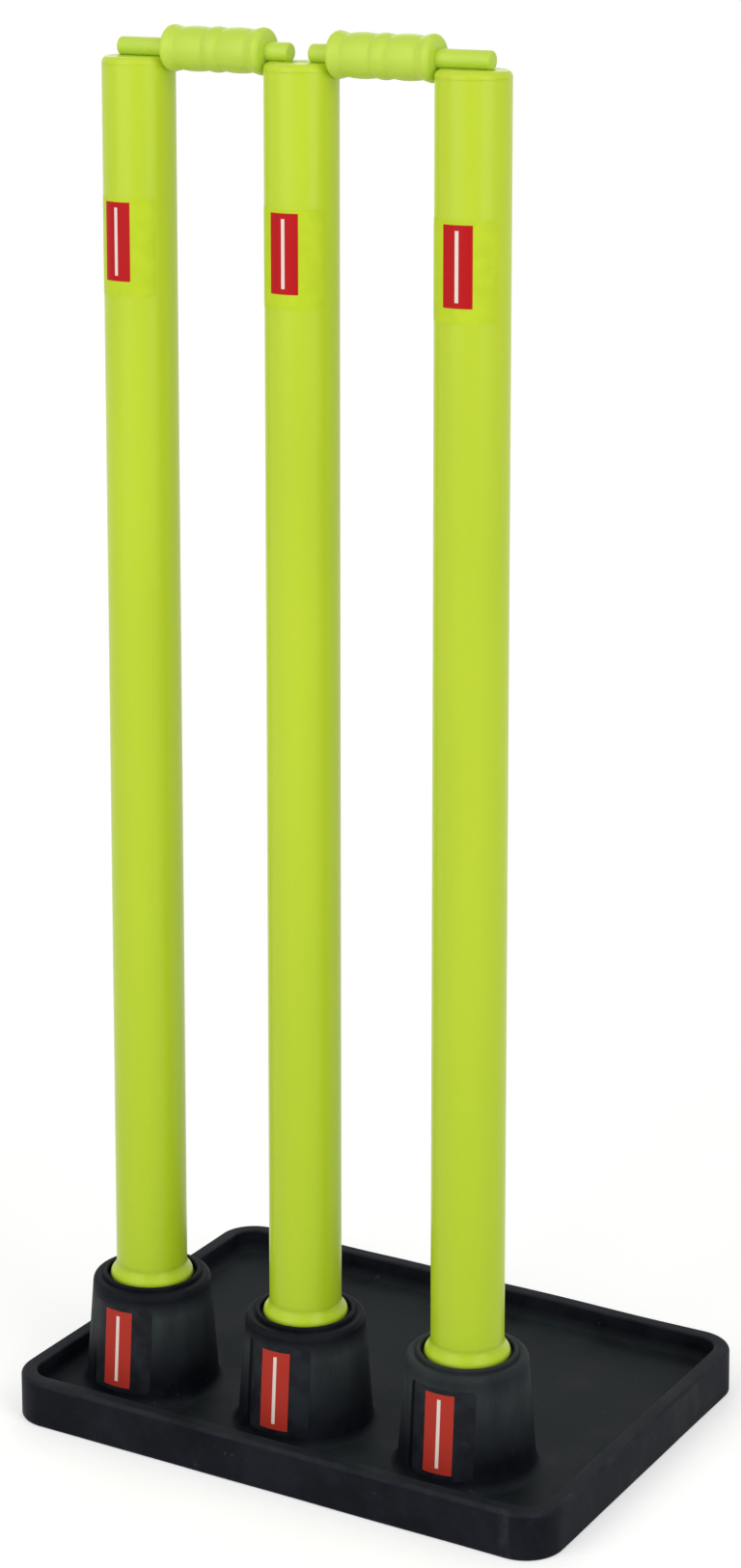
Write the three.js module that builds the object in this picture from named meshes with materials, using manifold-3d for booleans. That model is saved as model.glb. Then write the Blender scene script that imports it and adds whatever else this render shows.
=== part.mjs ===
// A free-standing cricket wicket: a moulded rubber base with three sockets, three tubular stumps with
// plugged ends, and two turned bails laid across their tops.
// Millimetres, +Z up. +X runs along the row of stumps, which stands near the -Y edge of the base.
// The origin is the centre of the base's underside. Heights are taken from the ground.
import * as THREE from "three";
import { mergeVertices } from "three/addons/utils/BufferGeometryUtils.js";
import Module from "manifold-3d";

// Wicket
const wicketHeight = 711.2; // ground to the flat tops of the stumps
const stumpSpacing = 94.5; // axis to axis
const stumpDiameter = 37;
const tubeWall = 2.6;

// Base tray
const baseLength = 316;
const baseDepth = 232;
const baseHeight = 24.5; // ground to the top of the rim
const baseCornerRadius = 21;
const rimWidth = 8.4;
const rimOuterRound = 3;
const rimInnerRound = 1.2;
const undersideRound = 1.5;
const floorHeight = 12.5; // ground to the tray floor
const floorFillet = 5;
const leastCornerRadius = 1; // an inset corner never gets sharper than this
const rowFromFront = 58; // front face of the base to the row of axes
const rowShift = 9.5; // the middle stump's axis stands this far to the left of the base's middle

// Sockets, moulded in one with the tray
const seatHeight = 69.3; // ledge in the mouth that a foot's flange rests on
const mouthDepth = 3.6; // ledge to the crest of the lip
const mouthGap = 1.2; // round the flange, inside the lip
const lipWidth = 3.3;
const lipRise = 2; // crest of the lip above the shoulder
const shoulderWidth = 4.9; // outer side of the lip to the socket's side wall
const shoulderDrop = 3.6; // top of the shoulder down to where the side wall starts
const socketTaper = 3.7; // how much wider the side wall is at its foot than at its top
const socketFillet = 4.5; // side wall into the tray floor
const socketSink = 6; // how far the socket's block reaches down into the tray floor
const socketFloorThickness = 14.5; // rubber left under a foot

// Stump feet
const flangeDiameter = 43.2;
const flangeBand = 2.2; // straight band round the widest part of the flange
const flangeRise = 7.5; // widest part up to the thin top edge, where the flare meets the tube
const flangeEdgeThickness = 0.45; // thickness of that top edge
const flangeUnderRound = 0.8;
const ferruleWall = 1.8; // sleeve below the flange, round the tube
const ferruleFloor = 3;
const ferruleLead = 1.6; // chamfer round the foot's bottom
const footHeadroom = 1; // between the foot's bottom and the socket's floor
const tubeFit = 0.25; // between tube and ferrule, on radius
const socketFit = 0.3; // between ferrule and socket, on radius

// Stump caps
const capThickness = 4; // the part of a cap that stands on the tube
const capRound = 3.5; // rounded edge of its top
const capSeam = 0.2; // between cap and tube
const plugLength = 20;
const plugWall = 2.2;
const plugLead = 1; // chamfer at the plug's end
const plugFit = 0.3; // between plug and tube, on radius

// Bails
const barrelGap = 0.3; // between a barrel's end and the stump beside it
const beadDiameter = 23.5; // beads at the barrel's ends
const swellDiameter = 22.8; // the two long swells
const middleBeadDiameter = 22.6;
const valleyDiameter = 21.5; // the grooves between them
const endBeadWidth = 8;
const middleBeadWidth = 10.4;
const endBeadRound = 1.2;
const spigotDiameter = 9.7;
const longSpigot = 29.2; // barrel to its end
const shortSpigot = 13;
const spigotRound = 1;
const bailSink = 0.6; // how far the spigots lie below the stumps' tops
const grooveFit = 0.3; // between a spigot and its groove

// Film labels
const filmThickness = 0.3;
const filmGap = 0.1; // between a film and what it is wrapped round
const stumpFilmWidth = 41.5; // measured round the stump
const stumpFilmHeight = 49;
const stumpFilmFromTop = 69.7; // stump's top to the film's upper edge
const stumpFilmTurns = [-7, 1, 4]; // degrees from -Y to a film's middle, left to right
const socketFilmWidth = 37.4; // measured round the socket
const socketFilmHeight = 45.2;
const socketFilmFromFloor = 5.9; // tray floor to the film's lower edge
const socketFilmTurn = 0.8; // degrees from -Y

const roundSteps = 32; // facets round a stump, foot, cap or socket
const bailSteps = 24; // facets round a bail
const cornerSteps = 7; // facets round a corner of the base
const curveSteps = 2; // divisions of a profile's curves
const bailCurveSteps = 3;
const socketCurveSteps = 3;
const overrun = 1; // how far a cutting shape runs past what it cuts
const mergeDistance = 1e-4;

// Sizes that follow from those above
const stumpRadius = stumpDiameter / 2;
const flangeRadius = flangeDiameter / 2;
const ferruleBore = stumpRadius + tubeFit;
const ferruleRadius = ferruleBore + ferruleWall;
const footBottom = socketFloorThickness + footHeadroom;
const flangeBottom = seatHeight + socketFit;
const flangeWidest = flangeBottom + flangeBand;
const flangeTop = flangeWidest + flangeRise;
const tubeBottom = footBottom + ferruleFloor + tubeFit;
const capBottom = wicketHeight - capThickness;
const tubeTop = capBottom - capSeam;
const socketBore = ferruleRadius + socketFit;
const mouthRadius = flangeRadius + mouthGap;
const lipCrest = seatHeight + mouthDepth;
const lipOuterRadius = mouthRadius + lipWidth;
const shoulderTop = lipCrest - lipRise;
const wallTopRadius = lipOuterRadius + shoulderWidth;
const wallTop = shoulderTop - shoulderDrop;
const wallFootRadius = wallTopRadius + socketTaper;
const barrelLength = stumpSpacing - stumpDiameter - 2 * barrelGap;
const spigotRadius = spigotDiameter / 2;
const bailAxisHeight = wicketHeight - bailSink + spigotRadius;
const grooveRadius = spigotRadius + grooveFit;
const spigotReach = longSpigot - stumpSpacing / 2 + barrelLength / 2; // long spigot's end past the axis
const stumpFilmBottom = wicketHeight - stumpFilmFromTop - stumpFilmHeight;
const socketFilmBottom = floorHeight + socketFilmFromFloor;
const rowY = rowFromFront - baseDepth / 2;
const leftX = -rowShift - stumpSpacing;

// Shares of the sizes that each outline follows
const flareRadiusShare = 0.77;
const flareHeightShare = 0.49;
const shoulderFlatShare = 0.45;
const shoulderTiltShare = 0.12;
const shoulderBulgeShare = 0.95;
const beadCrestShare = 0.42;

const rubber = new THREE.MeshStandardMaterial({ color: 0x272b2e, roughness: 0.75, metalness: 0 });
const yellowPlastic = new THREE.MeshStandardMaterial({ color: 0xc3da42, roughness: 0.35, metalness: 0 });
const labelFilm = new THREE.MeshStandardMaterial({ color: 0xc5282e, roughness: 0.25, metalness: 0 });

const wasm = await Module();
wasm.setup();

// A closed geometry as a solid that can be joined and cut.
function solidOf(geometry) {
  geometry.deleteAttribute("normal");
  geometry.deleteAttribute("uv");
  const merged = mergeVertices(geometry, mergeDistance);
  const index = merged.index.array;
  const kept = [];
  for (let i = 0; i < index.length; i += 3) {
    const [a, b, c] = [index[i], index[i + 1], index[i + 2]];
    if (a !== b && b !== c && c !== a) kept.push(a, b, c);
  }
  return new wasm.Manifold(
    new wasm.Mesh({
      numProp: 3,
      vertProperties: merged.attributes.position.array,
      triVerts: new Uint32Array(kept),
    }),
  );
}

function geometryOf(solid) {
  const mesh = solid.getMesh();
  const geometry = new THREE.BufferGeometry();
  geometry.setAttribute("position", new THREE.BufferAttribute(new Float32Array(mesh.vertProperties), 3));
  geometry.setIndex(new THREE.BufferAttribute(new Uint32Array(mesh.triVerts), 1));
  geometry.computeVertexNormals();
  return geometry;
}

function piece(name, solid, material) {
  const mesh = new THREE.Mesh(geometryOf(solid), material);
  mesh.name = name;
  return mesh;
}

// A profile of (radius, height) turned round the vertical axis.
function revolve(profile, divisions = curveSteps) {
  const lathe = new THREE.LatheGeometry(profile.getPoints(divisions), roundSteps);
  lathe.rotateX(Math.PI / 2);
  return solidOf(lathe);
}

// A profile of (radius, length) turned round the X axis.
function revolveAlongX(profile) {
  const lathe = new THREE.LatheGeometry(profile.getPoints(bailCurveSteps), bailSteps);
  lathe.rotateZ(-Math.PI / 2);
  return solidOf(lathe);
}

// One level of the tray: a rounded rectangle drawn in from the base's outline by inset.
function trayRing(inset, height) {
  const radius = Math.max(baseCornerRadius - inset, leastCornerRadius);
  const x = baseLength / 2 - inset - radius;
  const y = baseDepth / 2 - inset - radius;
  const ring = [];
  [[1, 1], [-1, 1], [-1, -1], [1, -1]].forEach(([sideX, sideY], quarter) => {
    for (let step = 0; step <= cornerSteps; step++) {
      const angle = ((quarter + step / cornerSteps) * Math.PI) / 2;
      const px = sideX * x + radius * Math.cos(angle);
      const py = sideY * y + radius * Math.sin(angle);
      ring.push(new THREE.Vector3(px, py, height));
    }
  });
  return ring;
}

// The tray is its section, carried round the outline and closed over the underside and the floor.
function makeTray() {
  const section = new THREE.Path();
  section.moveTo(undersideRound, 0);
  section.quadraticCurveTo(0, 0, 0, undersideRound);
  section.lineTo(0, baseHeight - rimOuterRound);
  section.absarc(rimOuterRound, baseHeight - rimOuterRound, rimOuterRound, Math.PI, Math.PI / 2, true);
  section.lineTo(rimWidth - rimInnerRound, baseHeight);
  section.quadraticCurveTo(rimWidth, baseHeight, rimWidth, baseHeight - rimInnerRound);
  const filletTop = floorHeight + floorFillet;
  section.lineTo(rimWidth, filletTop);
  section.absarc(rimWidth + floorFillet, filletTop, floorFillet, Math.PI, Math.PI * 1.5, false);
  const rings = section.getPoints(curveSteps).map((point) => trayRing(point.x, point.y));
  const around = rings[0].length;
  const points = rings.flat();
  const underside = points.length;
  points.push(new THREE.Vector3(0, 0, 0));
  const floor = points.length;
  points.push(new THREE.Vector3(0, 0, floorHeight));
  const triangles = [];
  const lastRing = (rings.length - 1) * around;
  for (let i = 0; i < around; i++) {
    const next = (i + 1) % around;
    triangles.push(underside, next, i);
    triangles.push(floor, lastRing + i, lastRing + next);
    for (let low = 0; low < lastRing; low += around) {
      const high = low + around;
      triangles.push(low + i, low + next, high + next, low + i, high + next, high + i);
    }
  }
  const geometry = new THREE.BufferGeometry().setFromPoints(points);
  geometry.setIndex(triangles);
  return solidOf(geometry);
}

// The socket's side wall, from its foot fillet to the top of the wall.
function socketWallRadius(height) {
  const start = floorHeight + socketFillet;
  return wallFootRadius - ((height - start) / (wallTop - start)) * socketTaper;
}

function makeSocket() {
  const filletTop = floorHeight + socketFillet;
  const flatEnd = lipOuterRadius + shoulderFlatShare * shoulderWidth;
  const flatEndHeight = shoulderTop - shoulderTiltShare * shoulderDrop;
  const lipRound = lipWidth / 2;
  const profile = new THREE.Path();
  profile.moveTo(0, floorHeight - socketSink);
  profile.lineTo(wallFootRadius + socketFillet, floorHeight - socketSink);
  profile.lineTo(wallFootRadius + socketFillet, floorHeight);
  profile.absarc(wallFootRadius + socketFillet, filletTop, socketFillet, Math.PI * 1.5, Math.PI, true);
  profile.lineTo(wallTopRadius, wallTop);
  profile.quadraticCurveTo(
    lipOuterRadius + shoulderBulgeShare * shoulderWidth,
    flatEndHeight,
    flatEnd,
    flatEndHeight,
  );
  profile.lineTo(lipOuterRadius, shoulderTop);
  profile.lineTo(lipOuterRadius, lipCrest - lipRound);
  profile.absarc(mouthRadius + lipRound, lipCrest - lipRound, lipRound, 0, Math.PI, false);
  profile.lineTo(mouthRadius, seatHeight);
  profile.lineTo(socketBore, seatHeight);
  profile.lineTo(socketBore, socketFloorThickness);
  profile.lineTo(0, socketFloorThickness);
  return revolve(profile, socketCurveSteps);
}

function makeFoot() {
  const profile = new THREE.Path();
  profile.moveTo(0, footBottom);
  profile.lineTo(ferruleRadius - ferruleLead, footBottom);
  profile.lineTo(ferruleRadius, footBottom + ferruleLead);
  profile.lineTo(ferruleRadius, flangeBottom);
  profile.lineTo(flangeRadius - flangeUnderRound, flangeBottom);
  profile.quadraticCurveTo(flangeRadius, flangeBottom, flangeRadius, flangeBottom + flangeUnderRound);
  profile.lineTo(flangeRadius, flangeWidest);
  const edgeRadius = ferruleBore + flangeEdgeThickness;
  const flare = new THREE.QuadraticBezierCurve(
    new THREE.Vector2(flangeRadius, flangeWidest),
    new THREE.Vector2(
      edgeRadius + flareRadiusShare * (flangeRadius - edgeRadius),
      flangeWidest + flareHeightShare * flangeRise,
    ),
    new THREE.Vector2(edgeRadius, flangeTop),
  );
  flare.getPoints(2 * curveSteps).forEach((point) => profile.lineTo(point.x, point.y));
  profile.lineTo(ferruleBore, flangeTop);
  profile.lineTo(ferruleBore, footBottom + ferruleFloor);
  profile.lineTo(0, footBottom + ferruleFloor);
  return revolve(profile);
}

function makeTube() {
  const profile = new THREE.Path();
  profile.moveTo(stumpRadius - tubeWall, tubeBottom);
  profile.lineTo(stumpRadius, tubeBottom);
  profile.lineTo(stumpRadius, tubeTop);
  profile.lineTo(stumpRadius - tubeWall, tubeTop);
  profile.closePath();
  return revolve(profile);
}

// A cap with a groove along X for the spigots, from grooveStart to grooveEnd of the cap's own axis.
function makeCap(grooveStart, grooveEnd) {
  const plugRadius = stumpRadius - tubeWall - plugFit;
  const plugBottom = capBottom - plugLength;
  const profile = new THREE.Path();
  profile.moveTo(0, capBottom);
  profile.lineTo(plugRadius - plugWall, capBottom);
  profile.lineTo(plugRadius - plugWall, plugBottom);
  profile.lineTo(plugRadius - plugLead, plugBottom);
  profile.lineTo(plugRadius, plugBottom + plugLead);
  profile.lineTo(plugRadius, capBottom);
  profile.lineTo(stumpRadius, capBottom);
  profile.absarc(stumpRadius - capRound, wicketHeight - capRound, capRound, 0, Math.PI / 2, false);
  profile.lineTo(0, wicketHeight);
  const groove = new THREE.Path();
  groove.moveTo(0, grooveStart);
  groove.lineTo(grooveRadius, grooveStart);
  groove.lineTo(grooveRadius, grooveEnd);
  groove.lineTo(0, grooveEnd);
  return revolve(profile).subtract(revolveAlongX(groove).translate(0, 0, bailAxisHeight));
}

// A swelling of the barrel between two valleys.
function swell(profile, crestRadius, start, end) {
  const valley = valleyDiameter / 2;
  profile.quadraticCurveTo(2 * crestRadius - valley, (start + end) / 2, valley, end);
}

function makeBail() {
  const end = barrelLength / 2;
  const beadRadius = beadDiameter / 2;
  const valley = valleyDiameter / 2;
  const endValley = end - endBeadWidth;
  const middleValley = middleBeadWidth / 2;
  const profile = new THREE.Path();
  profile.moveTo(0, -end - longSpigot);
  profile.lineTo(spigotRadius - spigotRound, -end - longSpigot);
  profile.quadraticCurveTo(spigotRadius, -end - longSpigot, spigotRadius, -end - longSpigot + spigotRound);
  profile.lineTo(spigotRadius, -end);
  profile.lineTo(beadRadius - endBeadRound, -end);
  profile.quadraticCurveTo(beadRadius, -end, beadRadius, -end + endBeadRound);
  profile.quadraticCurveTo(beadRadius, -end + beadCrestShare * endBeadWidth, valley, -endValley);
  swell(profile, swellDiameter / 2, -endValley, -middleValley);
  swell(profile, middleBeadDiameter / 2, -middleValley, middleValley);
  swell(profile, swellDiameter / 2, middleValley, endValley);
  profile.quadraticCurveTo(beadRadius, end - beadCrestShare * endBeadWidth, beadRadius, end - endBeadRound);
  profile.quadraticCurveTo(beadRadius, end, beadRadius - endBeadRound, end);
  profile.lineTo(spigotRadius, end);
  profile.lineTo(spigotRadius, end + shortSpigot - spigotRound);
  profile.quadraticCurveTo(spigotRadius, end + shortSpigot, spigotRadius - spigotRound, end + shortSpigot);
  profile.lineTo(0, end + shortSpigot);
  return revolveAlongX(profile);
}

// A thin film that follows a round wall up from bottom, cut to its width about the given turn.
function makeFilm(bottomRadius, topRadius, bottom, width, height, turn) {
  const top = bottom + height;
  const inner = filmGap;
  const outer = filmGap + filmThickness;
  const profile = new THREE.Path();
  profile.moveTo(bottomRadius + inner, bottom);
  profile.lineTo(bottomRadius + outer, bottom);
  profile.lineTo(topRadius + outer, top);
  profile.lineTo(topRadius + inner, top);
  profile.closePath();
  const halfAngle = width / (bottomRadius + topRadius);
  const middle = THREE.MathUtils.degToRad(turn) - Math.PI / 2;
  const reach = 2 * (bottomRadius + outer);
  const slice = new THREE.Shape();
  slice.moveTo(0, 0);
  slice.absarc(0, 0, reach, middle - halfAngle, middle + halfAngle, false);
  slice.lineTo(0, 0);
  const depth = height + 2 * overrun;
  const wedge = new THREE.ExtrudeGeometry(slice, { depth, bevelEnabled: false, curveSegments: cornerSteps });
  wedge.translate(0, 0, bottom - overrun);
  return revolve(profile).intersect(solidOf(wedge));
}

const wicket = new THREE.Group();
const sides = ["left", "middle", "right"];
const throughReach = stumpRadius + overrun;
const blindReach = spigotReach + grooveFit;
const grooves = [[-blindReach, throughReach], [-throughReach, throughReach], [-throughReach, blindReach]];

let base = makeTray();
sides.forEach((side, i) => {
  const x = leftX + i * stumpSpacing;
  base = base.add(makeSocket().translate(x, rowY, 0));
});
wicket.add(piece("rubber_base", base, rubber));

sides.forEach((side, i) => {
  const stump = new THREE.Group();
  stump.position.set(leftX + i * stumpSpacing, rowY, 0);
  stump.add(piece(`${side}_stump_tube`, makeTube(), yellowPlastic));
  stump.add(piece(`${side}_stump_foot`, makeFoot(), yellowPlastic));
  stump.add(piece(`${side}_stump_cap`, makeCap(...grooves[i]), yellowPlastic));
  const stumpFilm = makeFilm(
    stumpRadius,
    stumpRadius,
    stumpFilmBottom,
    stumpFilmWidth,
    stumpFilmHeight,
    stumpFilmTurns[i],
  );
  stump.add(piece(`${side}_stump_label`, stumpFilm, labelFilm));
  const socketFilm = makeFilm(
    socketWallRadius(socketFilmBottom),
    socketWallRadius(socketFilmBottom + socketFilmHeight),
    socketFilmBottom,
    socketFilmWidth,
    socketFilmHeight,
    socketFilmTurn,
  );
  stump.add(piece(`${side}_socket_label`, socketFilm, labelFilm));
  wicket.add(stump);
});

// The long spigots lie on the outer stumps, and the short ones share the middle stump.
[["left_bail", 0.5, 0], ["right_bail", 1.5, Math.PI]].forEach(([name, spans, turn]) => {
  const bail = piece(name, makeBail(), yellowPlastic);
  bail.position.set(leftX + spans * stumpSpacing, rowY, bailAxisHeight);
  bail.rotation.z = turn;
  wicket.add(bail);
});

export default wicket;
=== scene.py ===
# Cricket stumps on a rubber base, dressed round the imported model. The object's sizes are in
# millimetres, and the camera, the floor and the lights are in metres. X runs along the row of
# stumps, and the camera stands on the -Y side.
import math

import bmesh
import bpy
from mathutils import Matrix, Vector, geometry, noise


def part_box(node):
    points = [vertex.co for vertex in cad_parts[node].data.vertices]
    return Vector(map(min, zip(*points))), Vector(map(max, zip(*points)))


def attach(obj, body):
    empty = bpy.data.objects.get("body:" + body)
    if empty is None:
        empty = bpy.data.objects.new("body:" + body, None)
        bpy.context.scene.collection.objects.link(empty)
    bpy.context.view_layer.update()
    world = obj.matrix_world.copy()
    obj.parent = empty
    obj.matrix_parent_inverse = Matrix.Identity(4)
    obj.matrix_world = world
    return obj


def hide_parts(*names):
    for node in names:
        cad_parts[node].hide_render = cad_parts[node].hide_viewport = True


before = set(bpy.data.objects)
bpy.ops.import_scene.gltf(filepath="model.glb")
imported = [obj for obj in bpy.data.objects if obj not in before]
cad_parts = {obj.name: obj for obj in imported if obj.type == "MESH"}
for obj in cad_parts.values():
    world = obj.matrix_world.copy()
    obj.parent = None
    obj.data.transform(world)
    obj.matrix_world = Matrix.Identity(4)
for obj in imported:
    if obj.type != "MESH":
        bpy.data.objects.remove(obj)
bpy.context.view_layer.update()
scene = bpy.context.scene
print("frame loaded with", len(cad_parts), "nodes")

mm = 0.001
sides = ["left", "middle", "right"]
mergeDistance = 1e-6  # metres
creaseAngle = 32  # degrees from which an edge stays sharp
steps = {
    "round": 112,  # facets round a stump or a socket
    "slim": 80,  # facets round a bail
    "edge": 6,  # parts that a small curve of a profile is split into
    "rim": 8,  # and the other curves
    "curve": 10,
    "shoulder": 12,
    "lip": 14,
    "swell": 24,
}


# colour and node helpers
def linear(hexValue):
    # sRGB hex to the linear colour that the shader wants
    parts = [int(hexValue[i : i + 2], 16) / 255 for i in (1, 3, 5)]
    return [c / 12.92 if c <= 0.04045 else ((c + 0.055) / 1.055) ** 2.4 for c in parts] + [1]


def addNode(tree, kind, inputs=(), output=0, **settings):
    # adds a node with its settings and returns one of its outputs. Its inputs, in their order or by
    # name, are values or the sockets that feed them. A mix of colours takes its share at 0 and the
    # colours at 6 and 7, and gives the result at 2.
    node = tree.nodes.new("ShaderNode" + kind)
    for name, value in settings.items():
        setattr(node, name, value)
    for key, value in inputs.items() if isinstance(inputs, dict) else enumerate(inputs):
        if isinstance(value, bpy.types.NodeSocket):
            tree.links.new(value, node.inputs[key])
        else:
            node.inputs[key].default_value = value
    return node.outputs[output]


def newMaterial(name, finish):
    material = bpy.data.materials.new(name)
    material.use_nodes = True
    tree = material.node_tree
    shader = tree.nodes["Principled BSDF"]
    shader.inputs["IOR"].default_value = finish["ior"]
    shader.inputs["Specular IOR Level"].default_value = finish["specular"]
    shader.inputs["Roughness"].default_value = finish["roughness"]
    return material, tree, shader


# mesh helpers
def arc(centre, radius, start, end, count):
    # a profile's arc in degrees, 0 pointing outwards and 90 up
    out = []
    for i in range(count + 1):
        a = math.radians(start + (end - start) * i / count)
        out.append((centre[0] + radius * math.cos(a), centre[1] + radius * math.sin(a)))
    return out


def bend(first, control, last, count):
    # a profile's quadratic curve
    out = []
    for i in range(count + 1):
        t = i / count
        weighed = list(zip(((1 - t) ** 2, 2 * t * (1 - t), t * t), (first, control, last)))
        out.append(tuple(sum(w * p[k] for w, p in weighed) for k in (0, 1)))
    return out


def meshPiece(name, points, faces, material):
    # a closed mesh from points in millimetres
    mesh = bpy.data.meshes.new(name)
    mesh.from_pydata([Vector(p) * mm for p in points], [], faces)
    work = bmesh.new()
    work.from_mesh(mesh)
    bmesh.ops.remove_doubles(work, verts=work.verts, dist=mergeDistance)
    bmesh.ops.recalc_face_normals(work, faces=work.faces)
    work.to_mesh(mesh)
    work.free()
    mesh.materials.append(material)
    piece = bpy.data.objects.new(name, mesh)
    scene.collection.objects.link(piece)
    return piece


def turned(profile, facets, x=0.0, y=0.0):
    # points and faces of a profile of (radius, height) turned round the upright axis at x, y
    points, faces = [], []
    count = len(profile)
    for i in range(facets):
        a = 2 * math.pi * i / facets
        points += [(x + r * math.cos(a), y + r * math.sin(a), h) for r, h in profile]
        j = (i + 1) % facets
        for k in range(count - 1):
            faces.append((i * count + k, j * count + k, j * count + k + 1, i * count + k + 1))
    return points, faces


def alongX(points, x, y, z, backwards=False):
    # lays a turned shape down along X, its height running towards +X, or towards -X
    way = -1 if backwards else 1
    return [(x + way * h, y + way * a, z + b) for a, b, h in points]


def smooth(piece, angle=creaseAngle):
    piece.data.shade_smooth()
    piece.data.set_sharp_from_angle(angle=math.radians(angle))


def dress(piece, node, body):
    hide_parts(node)
    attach(piece, body)


def boxOf(node):
    # a node's box in millimetres
    low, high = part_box(node)
    return low / mm, high / mm


# camera: it stands where the photograph was taken from and looks a little down. Its shift keeps the
# stumps nearly upright in the picture, as they are in the photograph.
view = {
    "azimuth": 30.1,  # degrees round from -Y
    "distance": 1.7119,
    "height": 0.8314,
    "sidestep": -0.004,
    "pitch": 9.601,  # degrees down
    "lens": 79.09,
    "sensor": 36,
    "shift": -0.25,
    "near": 0.05,
    "far": 100,
}
turn = math.radians(view["azimuth"])
ahead = Vector((-math.sin(turn), math.cos(turn), 0))
across = Vector((math.cos(turn), math.sin(turn), 0))
lens = bpy.data.cameras.new("camera")
lens.sensor_width = view["sensor"]
lens.lens = view["lens"]
lens.shift_y = view["shift"]
lens.clip_start, lens.clip_end = view["near"], view["far"]
camera = bpy.data.objects.new("camera", lens)
camera.location = across * view["sidestep"] - ahead * view["distance"]
camera.location.z = view["height"]
camera.rotation_euler = (math.pi / 2 - math.radians(view["pitch"]), 0, turn)
scene.collection.objects.link(camera)
scene.camera = camera
scene.view_settings.view_transform = "Standard"
print("camera set")

# studio: a white floor that runs out to a white surround, an upright softbox on either side of
# the camera and a third one behind the object
studio = {
    "floor": "#E6E6E6",
    "floorReach": 9,
    "glowNear": 0.4,  # white that the floor shows near the object, over the light that falls on it
    "glowFar": 0.62,  # and further away
    "glowFrom": 0.5,
    "glowTo": 2.5,
    "surround": 0.5,  # the surround's light on the object
}
boardFinish = {"ior": 1.5, "specular": 0.2, "roughness": 0.9}
softboxes = {
    "leftSoftbox": {"turn": -48, "away": 1.7, "middle": 1.5, "size": (1.35, 2.2), "power": 17.5},
    "rightSoftbox": {"turn": 38, "away": 1.7, "middle": 1.5, "size": (1.1, 2.2), "power": 16},
    "backSoftbox": {"turn": 180, "away": 2.2, "middle": 1.9, "size": (1.6, 1), "power": 9},
}


def seenShare(tree):
    # 1 for what is seen, directly, mirrored or through something clear, and 0 for light on things
    rays = addNode(tree, "LightPath").node.outputs
    seen, mirrored = rays["Is Camera Ray"], rays["Is Glossy Ray"]
    seen = addNode(tree, "Math", [seen, mirrored], operation="MAXIMUM")
    return addNode(tree, "Math", [seen, rays["Is Transmission Ray"]], operation="MAXIMUM")


def whiteSweep():
    # matt white painted board: shows plain white and still takes the object's soft shadow
    material, tree, shader = newMaterial("mattWhiteBoard", boardFinish)
    shader.inputs["Base Color"].default_value = linear(studio["floor"])
    shader.inputs["Emission Color"].default_value = (1, 1, 1, 1)
    place = addNode(tree, "TexCoord", output="Object")
    away = addNode(tree, "VectorMath", [place], "Value", operation="LENGTH")
    near, far = studio["glowNear"], studio["glowFar"]
    glow = addNode(tree, "MapRange", [away, studio["glowFrom"], studio["glowTo"], near, far])
    shown = addNode(tree, "Math", [glow, seenShare(tree)], operation="MULTIPLY")
    tree.links.new(shown, shader.inputs["Emission Strength"])
    return material


def makeFloor():
    reach = studio["floorReach"] / mm
    corners = [(x * reach, y * reach, 0) for x, y in ((-1, -1), (1, -1), (1, 1), (-1, 1))]
    floor = meshPiece("floor", corners, [(0, 1, 2, 3)], whiteSweep())


def makeSurround():
    world = bpy.data.worlds.new("studioSurround")
    scene.world = world
    world.use_nodes = True
    tree = world.node_tree
    background = tree.nodes["Background"]
    background.inputs["Color"].default_value = (1, 1, 1, 1)
    strength = addNode(tree, "MapRange", [seenShare(tree), 0, 1, studio["surround"], 1])
    tree.links.new(strength, background.inputs["Strength"])


def makeSoftbox(name, box):
    light = bpy.data.lights.new(name, "AREA")
    light.shape = "RECTANGLE"
    light.size, light.size_y = box["size"]
    light.energy = box["power"]
    lamp = bpy.data.objects.new(name, light)
    a = math.radians(box["turn"])
    outwards = across * math.sin(a) - ahead * math.cos(a)
    lamp.location = outwards * box["away"] + Vector((0, 0, box["middle"]))
    lamp.rotation_euler = (-outwards).to_track_quat("-Z", "Y").to_euler()
    scene.collection.objects.link(lamp)


makeFloor()
makeSurround()
for name, box in softboxes.items():
    makeSoftbox(name, box)
print("studio lit")

# materials: a span gives the two values of a noise that become 0 and 1, with all between them
# spread out
plastic = {
    "ior": 1.49,
    "specular": 0.3,
    "roughness": 0.31,
    "through": 0.2,  # share of the light that goes in and comes out nearby
    "depth": 3,  # mm that it travels
    "depthColours": (1, 1, 0.4),  # share of that for its red, green and blue
    "colour": "#C3D92E",
    "shade": "#BED42C",
    "detail": 2,  # of its three noises
    "mottle": 60,  # mm across its soft colour changes
    "mottleTall": 0.3,  # a noise whose heights are scaled by this runs along the tube
    "mottleSpan": (0.35, 0.65),
    "low": "#B8D326",  # painted shade: the plastic darkens towards the foot
    "lowFrom": 50,  # mm above the ground
    "lowTo": 340,
    "drawLine": 1.4,  # mm between an extruded tube's lines, coarser than the real ones to show
    "drawTall": 0.01,
    "drawDepth": 0.02,
    "peel": 2.2,  # mm across the moulded skin's ripples
    "peelDepth": 0.012,
}
bailPlastic = {**plastic, "colour": "#BFD944", "shade": "#BAD442", "low": "#BFD944"}
bailPlastic.update({"roughness": 0.46, "specular": 0.45, "peelDepth": 0.02})
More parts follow.
